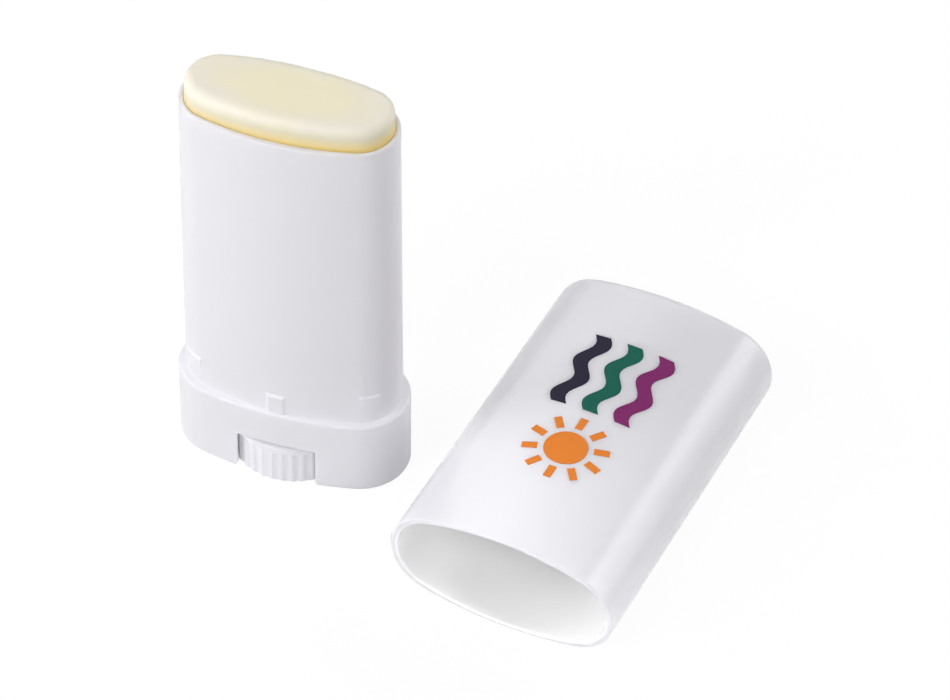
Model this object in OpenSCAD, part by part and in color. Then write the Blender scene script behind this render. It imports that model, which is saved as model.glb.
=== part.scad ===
// Twist-up sunscreen stick: an oval barrel with a thumb wheel in its foot, and its cap beside it.
// Millimetres. The barrel stands on z = 0 with its axis on z, and its front faces -y.

/* [Foot] */
// Width of the foot, which is also the width of the cap
foot_w = 37; // [32:0.5:48]
// Depth of the foot from front to back
foot_d = 18.3; // [16:0.1:26]
// Radius of the foot's two narrow ends
foot_end_r = 7.9; // [6:0.1:8.5]
// Height of the foot, up to the ledge that the cap meets
foot_h = 13.6; // [11:0.1:20]
// Thickness of the skirt around the thumb wheel
skirt_wall = 1.1; // [0.8:0.1:1.8]
// Width of the ledge at the two narrow ends, from the foot's outline in to the barrel
ledge_ends = 1.2; // [0.9:0.1:2]
// Width of the ledge at the two broad faces
ledge_faces = 0.735; // [0.6:0.005:1.5]
// How much smaller the radius of the barrel's narrow ends is than the foot's
ledge_corners = 1.13; // [0.9:0.01:2]
// Rounding of the ledge's outer edge
ledge_round = 0.5; // [0.2:0.1:0.8]
// Rounding of the foot's bottom edge
foot_round = 0.3; // [0.1:0.1:0.6]
// Width of the two windows that the thumb wheel shows through
window_w = 12.8; // [9:0.2:16]
// Height of the windows, which is also the height of the wheel's chamber
window_h = 7.3; // [6.8:0.1:9]
// Radius of the foot's corners at the bottom of a window
window_corner_r = 0.8; // [0.2:0.1:1.5]

/* [Barrel] */
// Height of the barrel from the ledge to the rim
barrel_h = 54.9; // [45:0.5:75]
// How far each side leans in between the ledge and the rim
barrel_draft = 0.4; // [0.1:0.05:0.5]
// Thickness of the wall at the rim, on the two narrow ends
wall_ends = 0.8; // [0.7:0.05:1.6]
// Thickness of the wall at the rim, on the two broad faces
wall_faces = 1.1; // [0.8:0.005:1.6]
// How much smaller the radius of the hollow's narrow ends is than the barrel's at the rim
wall_corners = 0.83; // [0.6:0.01:2]
// Rounding of the rim's outer edge
rim_round = 0.35; // [0.1:0.05:0.5]
// Chamfer of the rim's inner edge
rim_chamfer = 0.25; // [0.1:0.05:0.5]
// Thickness of the floor between the thumb wheel and the platform
floor_t = 1.4; // [1:0.1:2]
// Width of the stop rib on the middle of each broad face
rib_w = 3.3; // [2:0.1:6]
// Height of the stop rib above the ledge
rib_h = 3.85; // [2:0.05:6]
// Length of each cap bead around the barrel
bead_len = 3.3; // [2:0.1:5]
// Height of each cap bead
bead_h = 2.2; // [1:0.1:3]
// Height of the cap beads' lower edge above the ledge
bead_lift = 3.4; // [1:0.1:6]
// Angle of the cap beads from the long axis, around the end's centre
bead_angle = 56.5; // [45:0.5:62]
// How far the stop ribs stand out of the barrel
rib_rise = 0.3; // [0.1:0.05:0.5]
// Width of the slope round the top and sides of each stop rib
rib_slope = 0.5; // [0.3:0.05:1]
// How far the cap beads stand out of the barrel
bead_rise = 0.2; // [0.1:0.05:0.5]
// Height of the slope above and below each cap bead
bead_slope = 0.35; // [0.2:0.05:0.5]

/* [Thumb wheel] */
// Radius of the wheel over its flutes
wheel_r = 10; // [9.6:0.1:13]
// Thickness of the wheel
wheel_t = 6.95; // [5.5:0.05:7]
// Thickness of the smooth lip above the flutes
lip_t = 0.95; // [0.4:0.05:1.5]
// Clearance of the wheel above the table
wheel_lift = 0.2; // [0.1:0.05:0.5]
// Rounding of the wheel's upper edge
wheel_round = 0.4; // [0.2:0.05:0.4]
// Bevel of the wheel's lower edge
wheel_bevel = 0.22; // [0.1:0.02:0.5]
// Number of flutes around the wheel
flute_count = 38; // [24:1:48]
// Radius of each flute
flute_r = 0.78; // [0.4:0.02:1.6]
// Depth of each flute
flute_depth = 0.34; // [0.1:0.02:0.5]
// Turn of the wheel as it stands in the photograph
wheel_turned = 2.6; // [0:0.1:9.4]
// Wall of the wheel's hollow underside
wheel_wall = 1.6; // [1.2:0.1:3]
// Radius of the collar that turns under the floor
collar_r = 4.4; // [3.6:0.1:6]
// Radius of the neck that turns in the floor
neck_r = 2.6; // [2.2:0.05:3.4]
// Height of the barb that holds the neck in the floor
barb_h = 1; // [0.6:0.1:2]
// How far the barb stands out of the neck
barb_rise = 0.45; // [0.2:0.05:0.7]
// Radius of the spindle
spindle_r = 2.4; // [1.8:0.05:2.5]
// Height of the spindle above the floor
spindle_h = 52; // [40:0.5:70]

/* [Platform and stick] */
// Height that the platform is wound up from its lowest place, as in the photograph
wound_up = 4.5; // [0:0.5:40]
// Thickness of the platform's plate
plate_t = 1.6; // [1.2:0.1:3]
// Wall of the platform's nut
nut_wall = 1.7; // [1.2:0.1:2.5]
// Height of the nut above the plate
nut_h = 7.8; // [5:0.1:12]
// Thickness of the two fins that hold the stick on the platform
fin_t = 1; // [0.8:0.1:2]
// Reach of each fin from the axis
fin_reach = 10; // [6:0.5:13]
// Height of the fins above the plate
fin_h = 5; // [3:0.5:8]
// How far the stick stands above the rim as it is wound up now
stick_proud = 4.1; // [1:0.1:30]
// Rounding of the stick's top edge
stick_round = 0.9; // [0.5:0.1:2.5]
// Gap between the stick and the barrel's wall
stick_gap = 0.15; // [0.1:0.05:0.5]

/* [Cap] */
// Length of the cap from its mouth to its closed end
cap_l = 59; // [50:0.5:80]
// How far each side of the cap leans in towards the closed end
cap_draft = 0.15; // [0.05:0.05:0.4]
// Rounding of the closed end's edge
cap_end_r = 1.65; // [0.8:0.05:3]
// Thickness of the closed end
cap_end_t = 1.2; // [0.8:0.1:2]
// Rounding inside the closed end
cap_inner_r = 0.8; // [0.2:0.1:1.5]
// Rounding of the mouth's edges
mouth_round = 0.25; // [0.1:0.05:0.35]
// Clearance between the cap and the barrel
cap_gap = 0.1; // [0.05:0.05:0.3]
// Place of the cap's mouth to the right of the barrel's axis
cap_x = 42.2; // [36:0.2:60]
// Place of the cap's mouth in front of the barrel's axis
cap_y = 26.8; // [0:0.2:40]
// Turn of the lying cap, seen from above
cap_turn = -8.2; // [-25:0.1:0]

/* [Print] */
// Distance of the print from the cap's mouth
print_from = 15; // [10:0.5:18]
// Length of the print along the cap
print_l = 31; // [26:0.5:33]
// Width of the print across the cap
print_w = 16; // [14:0.5:18]
// Thickness of the ink
ink_t = 0.06; // [0.04:0.01:0.1]
// Radius of the sun's disc
sun_r = 3.4; // [2:0.1:4]
// Number of rays around the sun
ray_count = 10; // [8:1:12]
// Width of each ray
ray_w = 1.2; // [0.8:0.1:1.5]
// Length of each ray
ray_l = 2.4; // [1:0.1:3]
// Gap between the sun's disc and its rays
ray_gap = 0.9; // [0.4:0.1:1.2]
// Thickness of each wave
wave_t = 2.6; // [1.4:0.1:3]
// Height of the waves' swing to each side
wave_swing = 0.9; // [0.4:0.1:1]
// Number of crests in each wave
wave_crests = 2; // [1:1:3]

/* [Colours] */
// Moulded plastic of the barrel and wheel
plastic_colour = "#eeedf1"; // [color]
// Glossier plastic of the cap
cap_colour = "#f0eff3"; // [color]
// Sunscreen stick
stick_colour = "#f3eccd"; // [color]
// First ink
orange_ink = "#f58d3c"; // [color]
// Second ink
navy_ink = "#16122a"; // [color]
// Third ink
green_ink = "#0f5f50"; // [color]
// Fourth ink
purple_ink = "#822a6a"; // [color]

/* [Hidden] */
$fn = 96;
// Clearances: a turning or sliding fit, an end gap beside it, and a wheel's room in its chamber.
running_gap = 0.05;
end_gap = 0.1;
guide_gap = 0.1;
wheel_room = 0.4;
stand_off = 0.3;
tip_cover = 0.5;
ink_gap = 0.01;
// Rounding of an edge that another face covers, and how far a cut runs past what it cuts.
seam = 0.05;
overrun = 1;
// An oval is [half width, half depth, end radius].
foot_oval = [foot_w / 2, foot_d / 2, foot_end_r];
barrel_end_r = foot_end_r - ledge_corners;
barrel_oval = [foot_w / 2 - ledge_ends, foot_d / 2 - ledge_faces, barrel_end_r];
hollow_oval = grown(barrel_oval, -barrel_draft) - [wall_ends, wall_faces, wall_corners];
plate_oval = grown(hollow_oval, -guide_gap);
stick_oval = grown(hollow_oval, -stick_gap);
cavity_oval = grown(barrel_oval, cap_gap);
// Overlap of a swept wall section and the block inside it.
band = 0.6;
// How far an oval's end arcs stand out, so that the cut with its broad arcs is a clean one.
proud = 0.002;
rim_z = foot_h + barrel_h;
floor_top = window_h + floor_t;
barb_z = floor_top + end_gap;
barb_r = neck_r + barb_rise;
spindle_top = floor_top + spindle_h;
plate_low = barb_z + barb_h + stand_off;
plate_z = plate_low + wound_up;
plate_top = plate_z + plate_t;
nut_r = spindle_r + running_gap + nut_wall;
stick_top = rim_z + stick_proud;
stick_bore_r = spindle_r + stand_off;
stick_bore_top = spindle_top + wound_up + tip_cover;
ray_from = sun_r + ray_gap;
sun_reach = ray_from + ray_l;
wave_from = 2 * (sun_reach + ray_gap);
wave_l = print_l - wave_from;
wave_steps = 12 * wave_crests;

function grown(oval, by) = [oval[0] + by, oval[1] + by, oval[2] + by];
// Radius of an oval's broad arcs, which meet the end arcs without a corner.
function broad_r(oval) =
    (pow(oval[0] - oval[2], 2) + pow(oval[1], 2) - pow(oval[2], 2)) / (2 * (oval[1] - oval[2]));
// Angle from the long axis at which an end arc meets a broad arc.
function meeting_angle(oval) = atan2(broad_r(oval) - oval[1], oval[0] - oval[2]);

module flat_oval(oval) {
    end_x = oval[0] - oval[2];
    reach = end_x + oval[2] * cos(meeting_angle(oval));
    for (side = [-1, 1])
        translate([side * end_x, 0])
            circle(oval[2] + proud);
    intersection() {
        translate([0, oval[1] - broad_r(oval)])
            circle(broad_r(oval));
        translate([0, broad_r(oval) - oval[1]])
            circle(broad_r(oval));
        square([2 * reach, 2 * oval[1] + overrun], center = true);
    }
}

// Sweeps a section round the oval: its x is the distance outside the outline, its y is height.
module round_oval(oval) {
    for (half = [0, 180])
        rotate([0, 0, half]) {
            broad_side(oval)
                children();
            translate([oval[0] - oval[2], 0, 0])
                rotate_extrude(angle = 2 * meeting_angle(oval), start = -meeting_angle(oval))
                    translate([oval[2], 0])
                        children();
        }
}

// Sweeps a section along the broad arc at the back.
module broad_side(oval) {
    translate([0, oval[1] - broad_r(oval), 0])
        rotate_extrude(angle = 180 - 2 * meeting_angle(oval), start = meeting_angle(oval))
            translate([broad_r(oval), 0])
                children();
}

// What a rounding takes off a square corner at the origin that points to +x and +y.
module corner_waste(radius) {
    translate([-radius, -radius])
        difference() {
            square(radius + overrun);
            circle(radius);
        }
}

// Solid oval block whose sides lean in as they rise, with its bottom and top edges rounded.
module moulded(oval, height, lean, low_round, high_round) {
    depth = lean + max(low_round, high_round) + band;
    round_oval(oval)
        difference() {
            polygon([[-depth, 0], [0, 0], [-lean, height], [-depth, height]]);
            translate([-lean, height])
                corner_waste(high_round);
            mirror([0, 1])
                corner_waste(low_round);
        }
    linear_extrude(height)
        flat_oval(grown(oval, band / 2 - depth));
}

module barrel() {
    color(plastic_colour)
        difference() {
            open_barrel();
            rim_bevel();
        }
}

module open_barrel() {
    difference() {
        union() {
            moulded(foot_oval, foot_h, 0, foot_round, ledge_round);
            translate([0, 0, foot_h - overrun])
                moulded(barrel_oval, barrel_h + overrun, barrel_draft, seam, rim_round);
            stop_ribs();
            cap_beads();
        }
        translate([0, 0, floor_top])
            linear_extrude(rim_z)
                flat_oval(hollow_oval);
        cylinder(r = neck_r + running_gap, h = floor_top + overrun);
        wheel_chamber();
        windows();
    }
}

module stop_ribs() {
    out = rib_w / 2;
    face = barrel_oval[1] + rib_rise;
    inside = barrel_oval[1] - 2 * seam;
    top = foot_h + rib_h;
    intersection() {
        translate([0, 0, foot_h - overrun])
            linear_extrude(rib_h + 2 * overrun)
                flat_oval(grown(barrel_oval, rib_rise));
        translate([0, 0, foot_h - 2 * overrun])
            linear_extrude(rib_h + 4 * overrun)
                for (side = [0, 180])
                    rotate(side)
                        polygon([[-out, 0], [out, 0], [out, inside], [out - rib_slope, face],
                                 [rib_slope - out, face], [-out, inside]]);
        translate([-rib_w, 0, 0])
            rotate([90, 0, 90])
                linear_extrude(2 * rib_w)
                    polygon([[-face, 0], [face, 0], [face, top - rib_slope], [inside, top],
                             [-inside, top], [-face, top - rib_slope]]);
    }
}

module cap_beads() {
    sweep = bead_len / barrel_end_r * 180 / PI;
    face = band + bead_rise;
    for (side = [0, 180], way = [-1, 1])
        rotate([0, 0, side])
            translate([barrel_oval[0] - barrel_end_r, 0, foot_h + bead_lift])
                rotate_extrude(angle = sweep, start = way * bead_angle - sweep / 2)
                    translate([barrel_end_r - band, 0])
                        polygon([[0, 0], [band - seam, 0], [face, bead_slope],
                                 [face, bead_h - bead_slope], [band - seam, bead_h], [0, bead_h]]);
}

module rim_bevel() {
    translate([0, 0, rim_z])
        round_oval(hollow_oval)
            polygon([[-band, -rim_chamfer], [0, -rim_chamfer], [rim_chamfer, 0],
                     [rim_chamfer, overrun], [-band, overrun]]);
}

module wheel_chamber() {
    translate([0, 0, -overrun])
        linear_extrude(window_h + overrun) {
            flat_oval(grown(foot_oval, -skirt_wall));
            circle(wheel_r + wheel_room);
        }
}

module windows() {
    translate([0, foot_d, 0])
        rotate([90, 0, 0])
            linear_extrude(2 * foot_d) {
                translate([-window_w / 2, -overrun])
                    square([window_w, window_h + overrun]);
                for (side = [0, 1])
                    mirror([side, 0])
                        translate([window_w / 2, 0])
                            rotate(180)
                                corner_waste(window_corner_r);
            }
}

module thumb_wheel() {
    color(plastic_colour) {
        translate([0, 0, wheel_lift])
            difference() {
                rotate_extrude()
                    wheel_section();
                translate([0, 0, -overrun])
                    linear_extrude(wheel_t - lip_t + overrun)
                        flutes();
            }
        translate([0, 0, wheel_lift + wheel_t - overrun])
            cylinder(r = collar_r, h = window_h - end_gap - wheel_lift - wheel_t + overrun);
        translate([0, 0, wheel_lift + wheel_t])
            cylinder(r = neck_r, h = barb_z - wheel_lift - wheel_t);
        translate([0, 0, barb_z])
            cylinder(r1 = barb_r, r2 = spindle_r, h = barb_h);
        translate([0, 0, barb_z])
            cylinder(r = spindle_r, h = spindle_top - barb_z);
    }
}

module flutes() {
    for (i = [0:flute_count - 1])
        rotate(wheel_turned + (i + 0.5) * 360 / flute_count)
            translate([wheel_r - flute_depth + flute_r, 0])
                circle(flute_r);
}

// Half of the wheel's section, with the hollow of its underside around the collar.
module wheel_section() {
    inner = wheel_r - wheel_bevel;
    hollow_r = wheel_r - flute_depth - wheel_wall;
    difference() {
        polygon([[0, 0], [collar_r, 0], [collar_r, wheel_t - wheel_wall],
                 [hollow_r, wheel_t - wheel_wall], [hollow_r, 0], [inner, 0],
                 [wheel_r, wheel_bevel], [wheel_r, wheel_t], [0, wheel_t]]);
        translate([wheel_r, wheel_t])
            corner_waste(wheel_round);
    }
}

module platform() {
    color(plastic_colour)
        difference() {
            union() {
                translate([0, 0, plate_z])
                    linear_extrude(plate_t)
                        flat_oval(plate_oval);
                translate([0, 0, plate_z])
                    cylinder(r = nut_r, h = plate_t + nut_h);
                fins(0, plate_t / 2);
            }
            translate([0, 0, plate_z - overrun])
                cylinder(r = spindle_r + running_gap, h = plate_t + nut_h + 2 * overrun);
        }
}

module fins(room, sink) {
    translate([-fin_reach - room, -fin_t / 2 - room, plate_top - sink])
        cube([2 * (fin_reach + room), fin_t + 2 * room, sink + fin_h + room]);
}

module sunscreen_stick() {
    color(stick_colour)
        difference() {
            translate([0, 0, plate_top])
                moulded(stick_oval, stick_top - plate_top, 0, seam, stick_round);
            translate([0, 0, plate_top - overrun])
                cylinder(r = stick_bore_r, h = stick_bore_top - plate_top + overrun);
            translate([0, 0, plate_top - overrun])
                cylinder(r = nut_r + running_gap, h = nut_h + running_gap + overrun);
            fins(running_gap, overrun);
        }
}

// Lays the cap on its broad face beside the barrel, tipped by its own draft so that it lies flat.
module lay_cap() {
    tip = atan2(cap_draft, cap_l);
    translate([cap_x, -cap_y, foot_d / 2 * cos(tip)])
        rotate([0, 0, cap_turn])
            rotate([-90 - tip, 0, 0])
                children();
}

module cap() {
    color(cap_colour)
        lay_cap()
            difference() {
                moulded(foot_oval, cap_l, cap_draft, mouth_round, cap_end_r);
                cap_cavity();
            }
}

module cap_cavity() {
    depth = cap_l - cap_end_t;
    reach = cap_draft + cap_inner_r + band;
    translate([0, 0, -overrun])
        linear_extrude(depth + overrun)
            flat_oval(grown(cavity_oval, band / 2 - reach));
    round_oval(cavity_oval)
        difference() {
            polygon([[-reach, -overrun], [mouth_round, -overrun], [mouth_round, 0],
                     [0, mouth_round], [-cap_draft, depth], [-reach, depth]]);
            translate([-cap_draft, depth])
                corner_waste(cap_inner_r);
        }
}

// Cuts a flat design out of a skin of ink on the cap's upper face.
// The design's x runs along the cap from the print's start, its y across to the left.
module inked() {
    lay_cap()
        intersection() {
            rotate([0, 0, 180])
                broad_side(foot_oval)
                    polygon([[ink_gap, 0], [ink_gap + ink_t, 0],
                             [ink_gap + ink_t - cap_draft, cap_l], [ink_gap - cap_draft, cap_l]]);
            translate([print_w / 2, 0, print_from])
                rotate([90, 0, 0])
                    linear_extrude(foot_d)
                        rotate(90)
                            children();
        }
}

module print_orange() {
    color(orange_ink)
        inked()
            translate([sun_reach, print_w / 2]) {
                circle(sun_r);
                for (i = [0:ray_count - 1])
                    rotate(i * 360 / ray_count)
                        translate([ray_from, -ray_w / 2])
                            square([ray_l, ray_w]);
            }
}

module print_navy() {
    color(navy_ink)
        inked()
            wave(3);
}

module print_green() {
    color(green_ink)
        inked()
            wave(2);
}

module print_purple() {
    color(purple_ink)
        inked()
            wave(1);
}

// One of three waves above each other, as a band between two swinging edges.
module wave(place) {
    middle = print_w * (2 * place - 1) / 6;
    function swing(step) = middle + wave_swing * sin(360 * wave_crests * step / wave_steps);
    translate([wave_from, 0])
        polygon([for (i = [0:wave_steps]) [wave_l * i / wave_steps, swing(i) - wave_t / 2],
                 for (i = [wave_steps:-1:0]) [wave_l * i / wave_steps, swing(i) + wave_t / 2]]);
}

barrel();
thumb_wheel();
platform();
sunscreen_stick();
cap();
print_orange();
print_navy();
print_green();
print_purple();
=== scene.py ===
"""A twist-up sunscreen stick, open, with its printed cap lying beside it."""
import math

import bpy
from mathutils import Euler, Matrix, Vector, noise


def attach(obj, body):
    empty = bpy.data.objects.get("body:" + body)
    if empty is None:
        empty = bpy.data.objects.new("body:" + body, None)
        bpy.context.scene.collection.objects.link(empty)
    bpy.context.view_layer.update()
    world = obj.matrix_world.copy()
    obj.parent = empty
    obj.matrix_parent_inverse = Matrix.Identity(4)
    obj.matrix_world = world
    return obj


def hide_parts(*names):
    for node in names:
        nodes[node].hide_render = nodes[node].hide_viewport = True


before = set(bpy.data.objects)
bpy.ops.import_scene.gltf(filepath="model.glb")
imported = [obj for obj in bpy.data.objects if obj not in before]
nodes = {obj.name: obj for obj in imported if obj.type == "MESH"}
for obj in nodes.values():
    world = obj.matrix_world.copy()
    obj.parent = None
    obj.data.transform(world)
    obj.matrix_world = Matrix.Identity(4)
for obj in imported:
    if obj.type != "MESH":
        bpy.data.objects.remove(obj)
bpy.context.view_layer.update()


# ---- Camera ----
# It stands in front of the barrel, a little to the right and well above, and looks down at it.
# A long lens from far off, so that the barrel's sides stay nearly parallel.

camera_data = bpy.data.cameras.new("camera")
camera_data.lens = 185.54
camera_data.sensor_width = 36
camera_data.clip_start = 0.05
camera_data.clip_end = 20
camera = bpy.data.objects.new("camera", camera_data)
camera.location = (0.187572, -0.494275, 0.548932)
camera_yaw = Matrix.Rotation(math.radians(17.784), 3, "Z")
camera_pitch = Matrix.Rotation(math.radians(90 - 45.068), 3, "X")
camera_roll = Matrix.Rotation(math.radians(0.964), 3, "Z")
camera.rotation_euler = (camera_yaw @ camera_pitch @ camera_roll).to_euler()
bpy.context.scene.collection.objects.link(camera)
bpy.context.scene.camera = camera
bpy.context.scene.view_settings.view_transform = "Standard"


# ---- Studio ----
# A white paper sweep for a floor, with soft boxes round it.
# The paper shows as white to the lens and in gloss, and keeps a faint shadow under the pieces.


class Shader:
    """A material or world whose nodes are added one call at a time."""

    def __init__(self, owner):
        owner.use_nodes = True
        self.tree = owner.node_tree
        self.tree.nodes.clear()

    def add(self, kind, settings=None, **inputs):
        """Adds a node, gives it its settings, and feeds its inputs with values or other nodes' outputs."""
        node = self.tree.nodes.new("ShaderNode" + kind)
        for name, value in (settings or {}).items():
            setattr(node, name, value)
        for name, value in inputs.items():
            socket = node.inputs[int(name[1:])] if name[0] == "_" else node.inputs[name.replace("_", " ")]
            if isinstance(value, bpy.types.NodeSocket):
                self.tree.links.new(value, socket)
            else:
                socket.default_value = value
        return node


def seen_straight(shader):
    """1 where the lens, gloss or clear material sees the surface, and 0 where it only lights others."""
    path = shader.add("LightPath").outputs
    seen = shader.add("Math", {"operation": "MAXIMUM"}, _0=path["Is Camera Ray"], _1=path["Is Glossy Ray"])
    seen = shader.add("Math", {"operation": "MAXIMUM"}, _0=seen.outputs[0], _1=path["Is Transmission Ray"])
    return seen.outputs[0]


paper = bpy.data.materials.new("white_paper_sweep")
shader = Shader(paper)
paper_glow = 0.9
glow_strength = 1.03
lit = shader.add("BsdfDiffuse", Color=(0.94, 0.94, 0.94, 1))
white = shader.add("Emission", Color=(1, 1, 1, 1), Strength=glow_strength)
share = shader.add("Math", {"operation": "MULTIPLY"}, _0=seen_straight(shader), _1=paper_glow)
both = shader.add("MixShader", _0=share.outputs[0], _1=lit.outputs[0], _2=white.outputs[0])
shader.add("OutputMaterial", Surface=both.outputs[0])

paper_half = 4.0
paper_mesh = bpy.data.meshes.new("paper_sweep")
paper_mesh.from_pydata(
    [
        (-paper_half, -paper_half, 0),
        (paper_half, -paper_half, 0),
        (paper_half, paper_half, 0),
        (-paper_half, paper_half, 0),
    ],
    [],
    [(0, 1, 2, 3)],
)
paper_mesh.materials.append(paper)
floor = bpy.data.objects.new("paper_sweep", paper_mesh)
bpy.context.scene.collection.objects.link(floor)

room = bpy.data.worlds.new("white_room")
bpy.context.scene.world = room
shader = Shader(room)
# The room shows white in gloss and lights nothing, which is left to the soft boxes.
room_light = 0.0
strength = shader.add("Mix", {"data_type": "FLOAT"}, _0=seen_straight(shader), _2=room_light, _3=1.0)
background = shader.add("Background", Color=(0.97, 0.98, 1.0, 1), Strength=strength.outputs[0])
shader.add("OutputWorld", Surface=background.outputs[0])

# Name, place, size and power of each soft box, which all look at the middle of the object.
soft_boxes = [
    ("left", (-0.95, -0.25, 0.45), 0.5, 4.1),
    ("front_left", (-0.60, -0.85, 0.60), 0.4, 3.5),
    ("front", (-0.25, -0.85, 0.85), 0.6, 3.9),
    ("front_right", (0.75, -0.80, 0.55), 0.6, 2.5),
    ("above", (0.05, 0.05, 1.20), 0.8, 1.4),
    ("back_right", (0.60, 0.75, 0.50), 0.6, 4.2),
    ("back_left", (-0.50, 0.85, 0.70), 0.6, 1.6),
    ("right", (0.90, 0.30, 0.30), 0.5, 1.2),
]
middle = Vector((0.02, -0.01, 0.03))
for name, place, size, power in soft_boxes:
    lamp = bpy.data.lights.new(name, "AREA")
    lamp.shape = "SQUARE"
    lamp.size = size
    lamp.energy = power
    lamp_object = bpy.data.objects.new(name, lamp)
    lamp_object.location = place
    lamp_object.rotation_euler = (middle - Vector(place)).to_track_quat("-Z", "Y").to_euler()
    bpy.context.scene.collection.objects.link(lamp_object)


# ---- Barrel ----
# One moulding in white polypropylene with a satin skin: the oval tube, its foot, stop ribs and cap beads.
# The steel mould leaves a very fine grain, and the wall is thick enough to look milky, not clear.


def moulded_plastic(name, colour, tint, roughness, grain, grain_depth, milky, inside=None):
    """White moulded plastic: a faintly cloudy colour, and the mould's fine grain in the gloss and the surface.

    inside, where given, is the middle of a hollow's mouth, the direction that it runs in, and a paler colour for
    the faces turned into the hollow: painted light, standing in for light that comes through the thin wall and
    bounces round inside.
    """
    material = bpy.data.materials.new(name)
    shader = Shader(material)
    place = shader.add("TexCoord").outputs["Object"]
    cloud = shader.add("TexNoise", Vector=place, Scale=60.0, Detail=3.0, Roughness=0.55)
    shade = shader.add(
        "Mix", {"data_type": "RGBA"}, _0=cloud.outputs[0], _6=(*colour, 1), _7=(*tint, 1)
    )
    # Faces turned into the hollow get a paler colour. This is painted light, for the light that shines through the
    # thin wall and bounces round inside.
    if inside:
        middle, along, painted_light_colour = inside
        out = shader.add("VectorMath", {"operation": "SUBTRACT"}, _0=place, _1=middle)
        lengthwise = shader.add("VectorMath", {"operation": "PROJECT"}, _0=out.outputs[0], _1=along)
        sideways = shader.add(
            "VectorMath", {"operation": "SUBTRACT"}, _0=out.outputs[0], _1=lengthwise.outputs[0]
        )
        facing = shader.add("TexCoord").outputs["Normal"]
        turned_in = shader.add("VectorMath", {"operation": "DOT_PRODUCT"}, _0=sideways.outputs[0], _1=facing)
        # The lip of the mouth faces neither way, and keeps the outside's colour.
        lip_margin = -0.003
        painted_light_mask = shader.add("Math", {"operation": "LESS_THAN"}, _0=turned_in.outputs["Value"], _1=lip_margin)
        shade = shader.add(
            "Mix", {"data_type": "RGBA"}, _0=painted_light_mask.outputs[0], _6=shade.outputs[2], _7=(*painted_light_colour, 1)
        )
    fine = shader.add("TexNoise", Vector=place, Scale=grain, Detail=2.0, Roughness=0.6)
    gloss = shader.add(
        "MapRange", _0=fine.outputs[0], _1=0.3, _2=0.7, _3=roughness - 0.05, _4=roughness + 0.05
    )
    bump = shader.add("Bump", Height=fine.outputs[0], Strength=0.25, Distance=grain_depth)
    skin = shader.add(
        "BsdfPrincipled",
        {"subsurface_method": "BURLEY"},
        Base_Color=shade.outputs[2],
        Roughness=gloss.outputs[0],
        Normal=bump.outputs[0],
        IOR=1.49,
        Subsurface_Weight=milky,
        Subsurface_Scale=0.0025,
        Subsurface_Radius=(1.0, 1.0, 1.0),
    )
    shader.add("OutputMaterial", Surface=skin.outputs[0])
    return material


# The mould leaves no facets: faces that meet at less than this angle share one smooth skin.
sharp_edge_angle = math.radians(26)
same_point = 0.00000002
even_skin = bpy.data.node_groups.new("even_skin", "GeometryNodeTree")
even_skin.interface.new_socket("Solid", in_out="INPUT", socket_type="NodeSocketGeometry")
even_skin.interface.new_socket("Solid", in_out="OUTPUT", socket_type="NodeSocketGeometry")
solid_in = even_skin.nodes.new("NodeGroupInput")
joined = even_skin.nodes.new("GeometryNodeMergeByDistance")
joined.inputs["Distance"].default_value = same_point
rounded = even_skin.nodes.new("GeometryNodeSetShadeSmooth")
bend = even_skin.nodes.new("GeometryNodeInputMeshEdgeAngle")
is_corner = even_skin.nodes.new("FunctionNodeCompare")
is_corner.operation = "GREATER_THAN"
is_corner.inputs[1].default_value = sharp_edge_angle
cornered = even_skin.nodes.new("GeometryNodeSetShadeSmooth")
cornered.domain = "EDGE"
cornered.inputs["Shade Smooth"].default_value = False
solid_out = even_skin.nodes.new("NodeGroupOutput")
for given, taken in (
    (solid_in.outputs[0], joined.inputs["Geometry"]),
    (joined.outputs[0], rounded.inputs["Geometry"]),
    (bend.outputs["Unsigned Angle"], is_corner.inputs[0]),
    (rounded.outputs[0], cornered.inputs["Geometry"]),
    (is_corner.outputs[0], cornered.inputs["Selection"]),
    (cornered.outputs[0], solid_out.inputs[0]),
):
    even_skin.links.new(given, taken)


def finish_node(name, material):
    """Gives a carried-over solid its material, and one unbroken skin between its true corners."""
    solid = nodes[name]
    solid.data.materials.clear()
    solid.data.materials.append(material)
    solid.modifiers.new("even_skin", "NODES").node_group = even_skin
    level = solid.modifiers.new("level_skin", "WEIGHTED_NORMAL")
    level.mode = "FACE_AREA_WITH_ANGLE"
    level.keep_sharp = True


satin_white = moulded_plastic(
    "satin_white_plastic",
    colour=(0.805, 0.795, 0.84),
    tint=(0.825, 0.815, 0.855),
    roughness=0.42,
    grain=2600.0,
    grain_depth=0.00002,
    milky=0.5,
)
finish_node("barrel", satin_white)


# ---- Thumb wheel ----
# A fluted wheel and screw spindle moulded in one piece from the same white plastic.
# Its neck snaps up through the barrel's floor and turns there.

wheel_white = moulded_plastic(
    "wheel_white_plastic",
    colour=(0.80, 0.79, 0.835),
    tint=(0.82, 0.81, 0.85),
    roughness=0.45,
    grain=2200.0,
    grain_depth=0.00002,
    milky=0.5,
)
finish_node("thumb_wheel", wheel_white)


# ---- Platform ----
# The oval plate that carries the stick up the barrel, with a nut that runs on the spindle.
# White plastic, left as moulded.

platform_white = moulded_plastic(
    "platform_white_plastic",
    colour=(0.80, 0.79, 0.835),
    tint=(0.82, 0.81, 0.85),
    roughness=0.5,
    grain=1800.0,
    grain_depth=0.00003,
    milky=0.5,
)
finish_node("platform", platform_white)


# ---- Sunscreen stick ----
# Waxy cream sunscreen, poured warm into the barrel and set round the platform's nut.
# Its top edge is soft and a little uneven, paler where the wax has dried.

ring_points = 288
stick_half_w = 0.0160
stick_half_d = 0.0067
stick_end_r = 0.00545
stick_low = 0.0162
stick_high = 0.0725
nut_pocket_r = 0.0042
nut_pocket_top = 0.02405
bore_r = 0.0027
bore_top = 0.0657
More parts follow.
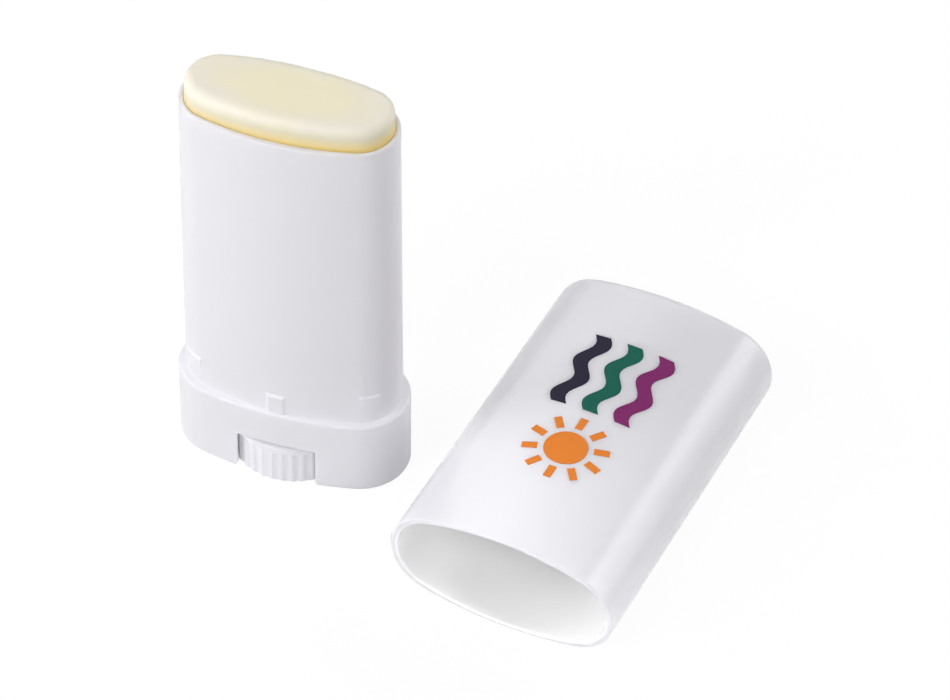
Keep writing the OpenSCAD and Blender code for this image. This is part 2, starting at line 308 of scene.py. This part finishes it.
# Radius of the worn top edge on the front, back, left and right.
worn_edge = {"front": 0.0016, "back": 0.0020, "left": 0.0018, "right": 0.0010}
top_inset = 0.0050


def oval_outline(half_w, half_d, end_r):
    """Points and outward directions round an oval of two end arcs and two broad arcs, evenly spaced from +X."""
    end_x = half_w - end_r
    broad_r = (end_x**2 + half_d**2 - end_r**2) / (2 * (half_d - end_r))
    turn = math.atan2(broad_r - half_d, end_x)
    end_len = end_r * turn
    broad_len = broad_r * (math.pi / 2 - turn)
    outline = []
    for i in range(ring_points):
        quarter, along = divmod(i / ring_points * 4, 1)
        distance = along * (end_len + broad_len)
        if quarter % 2:
            distance = end_len + broad_len - distance
        if distance < end_len:
            angle = distance / end_r
            x, y = end_x + end_r * math.cos(angle), end_r * math.sin(angle)
        else:
            angle = turn + (distance - end_len) / broad_r
            x, y = broad_r * math.cos(angle), half_d - broad_r + broad_r * math.sin(angle)
        right = 1 if quarter in (0, 3) else -1
        back = 1 if quarter in (0, 1) else -1
        outline.append(((x * right, y * back), (math.cos(angle) * right, math.sin(angle) * back)))
    return outline


stick_outline = oval_outline(stick_half_w, stick_half_d, stick_end_r)
# Below the rim the wax still fills the barrel's hollow, and above it the wax has worn a little smaller.
filled_half_w = 0.01608
filled_half_d = 0.00689
filled_end_r = 0.00552
filled_outline = oval_outline(filled_half_w, filled_half_d, filled_end_r)
filled_to = 0.06845
worn_from = 0.0700


def edge_radius(point, outward):
    """How far the top edge is worn round at a point of the outline."""
    sideways = 0.5 + 0.5 * point[0] / stick_half_w
    backward = 0.5 + 0.5 * point[1] / stick_half_d
    on_end = abs(outward[0]) ** 1.5
    face = worn_edge["front"] + (worn_edge["back"] - worn_edge["front"]) * backward
    end = worn_edge["left"] + (worn_edge["right"] - worn_edge["left"]) * sideways
    return face + (end - face) * on_end


def round_ring(radius, height):
    """Points round a circle, each in the direction of the same point of the stick's outline."""
    return [Vector((*(Vector(point).normalized() * radius), height)) for point, _ in stick_outline]


# The bore for the spindle and the pocket for the nut, from the bore's slightly domed top down.
rings = [
    round_ring(bore_r * 0.3, bore_top + 0.0004),
    round_ring(bore_r * 0.75, bore_top + 0.0002),
    round_ring(bore_r, bore_top - 0.0002),
    round_ring(bore_r, nut_pocket_top),
    round_ring(nut_pocket_r, nut_pocket_top),
    round_ring(nut_pocket_r, stick_low),
]
side_steps = 44
edge_steps = 14
top_steps = 10
# The rings of the side lie closer together towards the top, where the wax is worn.
side_crowding = 0.4
side_top = stick_high - max(worn_edge.values())
for i in range(side_steps + 1):
    height = stick_low + (side_top - stick_low) * (i / side_steps) ** side_crowding
    worn = min(1, max(0, (height - filled_to) / (worn_from - filled_to)))
    rings.append(
        [
            Vector((*Vector(full).lerp(Vector(point), worn), height))
            for (full, _), (point, _) in zip(filled_outline, stick_outline)
        ]
    )
for i in range(1, edge_steps + 1):
    angle = math.pi / 2 * i / edge_steps
    ring = []
    for point, outward in stick_outline:
        radius = edge_radius(point, outward)
        inset = radius * (1 - math.cos(angle))
        height = stick_high - radius + radius * math.sin(angle)
        ring.append(Vector((point[0] - outward[0] * inset, point[1] - outward[1] * inset, height)))
    rings.append(ring)
for i in range(1, top_steps + 1):
    ring = []
    for point, outward in stick_outline:
        radius = edge_radius(point, outward)
        inset = radius + (top_inset - radius) * i / top_steps
        ring.append(Vector((point[0] - outward[0] * inset, point[1] - outward[1] * inset, stick_high)))
    rings.append(ring)
for share in (0.75, 0.5, 0.25, 0.08):
    rings.append([Vector((point.x * share, point.y * share, stick_high)) for point in ring])

# Handling leaves the free part of the wax uneven, in broad waves and finer ones.
uneven_from = 0.0690
uneven_over = 0.0020
broad_wave = 0.00014
fine_wave = 0.00010
most_swell = 0.00005
top_wave = 0.00018
stick_points = []
for ring in rings:
    for point in ring:
        loose = min(1, max(0, (point.z - uneven_from) / uneven_over))
        if point.xy.length > nut_pocket_r * 1.05:
            swell = noise.noise(point * 130) * broad_wave + noise.noise(point * 600) * fine_wave
            swell = min(swell, most_swell)
            point = point + Vector((*point.xy.normalized(), 0)) * swell * loose
        point = point + Vector((0, 0, noise.noise(point * 110 + Vector((5, 3, 0))) * top_wave * loose))
        stick_points.append(point)
stick_faces = []
for r in range(len(rings) - 1):
    for i in range(ring_points):
        j = (i + 1) % ring_points
        stick_faces.append(
            (r * ring_points + i, r * ring_points + j, (r + 1) * ring_points + j, (r + 1) * ring_points + i)
        )
stick_faces.append(tuple(range(ring_points))[::-1])
stick_faces.append(tuple((len(rings) - 1) * ring_points + i for i in range(ring_points)))
stick_mesh = bpy.data.meshes.new("waxy_stick")
stick_mesh.from_pydata(stick_points, [], stick_faces)
stick_mesh.validate()
stick_mesh.shade_smooth()
waxy_stick = bpy.data.objects.new("waxy_stick", stick_mesh)
bpy.context.scene.collection.objects.link(waxy_stick)

# Paler where the wax has dried. At the rim the wax is a deeper yellow: painted shade and bounced light of the
# narrow gap between wax and rim, which rides up with the stick when it is wound out.
dried_skin = (0.96, 0.91, 0.79, 1)
cream = (1.0, 0.93, 0.68, 1)
side_wax = (0.82, 0.76, 0.57, 1)
rim_crevice_shade_wax = (0.93, 0.72, 0.28, 1)
kept_wax = (0.93, 0.85, 0.62, 1)
wax = bpy.data.materials.new("cream_wax")
shader = Shader(wax)
place = shader.add("TexCoord").outputs["Object"]
blotch = shader.add("TexNoise", Vector=place, Scale=160.0, Detail=4.0, Roughness=0.6)
across = shader.add("VectorMath", {"operation": "MULTIPLY"}, _0=place, _1=(1 / stick_half_w, 1 / stick_half_d, 0))
from_middle = shader.add("VectorMath", {"operation": "LENGTH"}, _0=across.outputs[0])
mottled = shader.add(
    "Math", {"operation": "MULTIPLY_ADD"}, _0=blotch.outputs[0], _1=0.7, _2=from_middle.outputs["Value"]
)
dryness = shader.add("MapRange", _0=mottled.outputs[0], _1=0.85, _2=1.35)
top_tone = shader.add("Mix", {"data_type": "RGBA"}, _0=dryness.outputs[0], _6=cream, _7=dried_skin)
height = shader.add("SeparateXYZ", Vector=place)
wavy = shader.add("Math", {"operation": "MULTIPLY_ADD"}, _0=blotch.outputs[0], _1=0.0008, _2=height.outputs["Z"])
# The bands of colour rise a little towards the right.
band_slope = -0.03
slanted = shader.add(
    "Math", {"operation": "MULTIPLY_ADD"}, _0=height.outputs["X"], _1=band_slope, _2=wavy.outputs[0]
)
near_top = shader.add("MapRange", _0=slanted.outputs[0], _1=0.0706, _2=0.0722)
upper_tone = shader.add(
    "Mix", {"data_type": "RGBA"}, _0=near_top.outputs[0], _6=side_wax, _7=top_tone.outputs[2]
)
above_rim = shader.add("MapRange", _0=slanted.outputs[0], _1=0.0688, _2=0.0706)
# A deep yellow band at the rim: painted shade and bounced light of the gap between wax and rim.
rim_crevice_shade_band = shader.add("MapRange", _0=wavy.outputs[0], _1=0.0650, _2=0.0684)
lower_tone = shader.add("Mix", {"data_type": "RGBA"}, _0=rim_crevice_shade_band.outputs[0], _6=kept_wax, _7=rim_crevice_shade_wax)
tone = shader.add(
    "Mix", {"data_type": "RGBA"}, _0=above_rim.outputs[0], _6=lower_tone.outputs[2], _7=upper_tone.outputs[2]
)
pores = shader.add("TexNoise", Vector=place, Scale=1400.0, Detail=4.0, Roughness=0.7)
bump = shader.add("Bump", Height=pores.outputs[0], Strength=0.3, Distance=0.00004)
body = shader.add(
    "BsdfPrincipled",
    {"subsurface_method": "BURLEY"},
    Base_Color=tone.outputs[2],
    Roughness=0.6,
    Normal=bump.outputs[0],
    IOR=1.44,
    Subsurface_Weight=0.5,
    Subsurface_Scale=0.0015,
    Subsurface_Radius=(1.0, 0.8, 0.4),
)
shader.add("OutputMaterial", Surface=body.outputs[0])
stick_mesh.materials.append(wax)
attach(waxy_stick, "elevator")
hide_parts("sunscreen_stick")


# ---- Cap ----
# A deep oval cover in the same white plastic, but from a polished mould, so it has a gloss.
# It pushes over the barrel down to the ledge, and the four small beads hold it.

# The middle of its mouth as it lies, the direction that it runs in, and the paler colour of its inside. That
# colour is painted light, standing in for light that comes through the thin wall and bounces round in there.
cap_turn = math.radians(-8.2)
cap_middle = (0.0422, -0.0268, 0.00915)
cap_length = (-math.sin(cap_turn), math.cos(cap_turn), 0)
cap_inside_painted_light = (0.98, 0.98, 0.98)
gloss_white = moulded_plastic(
    "gloss_white_plastic",
    colour=(0.805, 0.795, 0.84),
    tint=(0.825, 0.815, 0.855),
    roughness=0.22,
    grain=900.0,
    grain_depth=0.00001,
    milky=1.0,
    inside=(cap_middle, cap_length, cap_inside_painted_light),
)
finish_node("cap", gloss_white)


# ---- Print on the cap ----
# A sun and three waves, screen-printed in four inks on the cap's upper face.
# Each ink is a thin even film with a little gloss of its own.


def printed_ink(name, colour):
    """Screen-printed ink: its colour varies very slightly, as the film does through the mesh of the screen."""
    material = bpy.data.materials.new(name)
    shader = Shader(material)
    place = shader.add("TexCoord").outputs["Object"]
    film = shader.add("TexNoise", Vector=place, Scale=1500.0, Detail=2.0)
    thin = tuple(min(1, c * 1.12 + 0.004) for c in colour)
    shade = shader.add("Mix", {"data_type": "RGBA"}, _0=film.outputs[0], _6=(*colour, 1), _7=(*thin, 1))
    bump = shader.add("Bump", Height=film.outputs[0], Strength=0.2, Distance=0.00002)
    skin = shader.add(
        "BsdfPrincipled", Base_Color=shade.outputs[2], Roughness=0.5, Normal=bump.outputs[0], IOR=1.5
    )
    skin.inputs["Specular IOR Level"].default_value = 0.15
    shader.add("OutputMaterial", Surface=skin.outputs[0])
    return material


finish_node("print_orange", printed_ink("orange_ink", (0.86, 0.25, 0.035)))
finish_node("print_navy", printed_ink("navy_ink", (0.0075, 0.005, 0.022)))
finish_node("print_green", printed_ink("green_ink", (0.004, 0.11, 0.078)))
finish_node("print_purple", printed_ink("purple_ink", (0.22, 0.022, 0.14)))
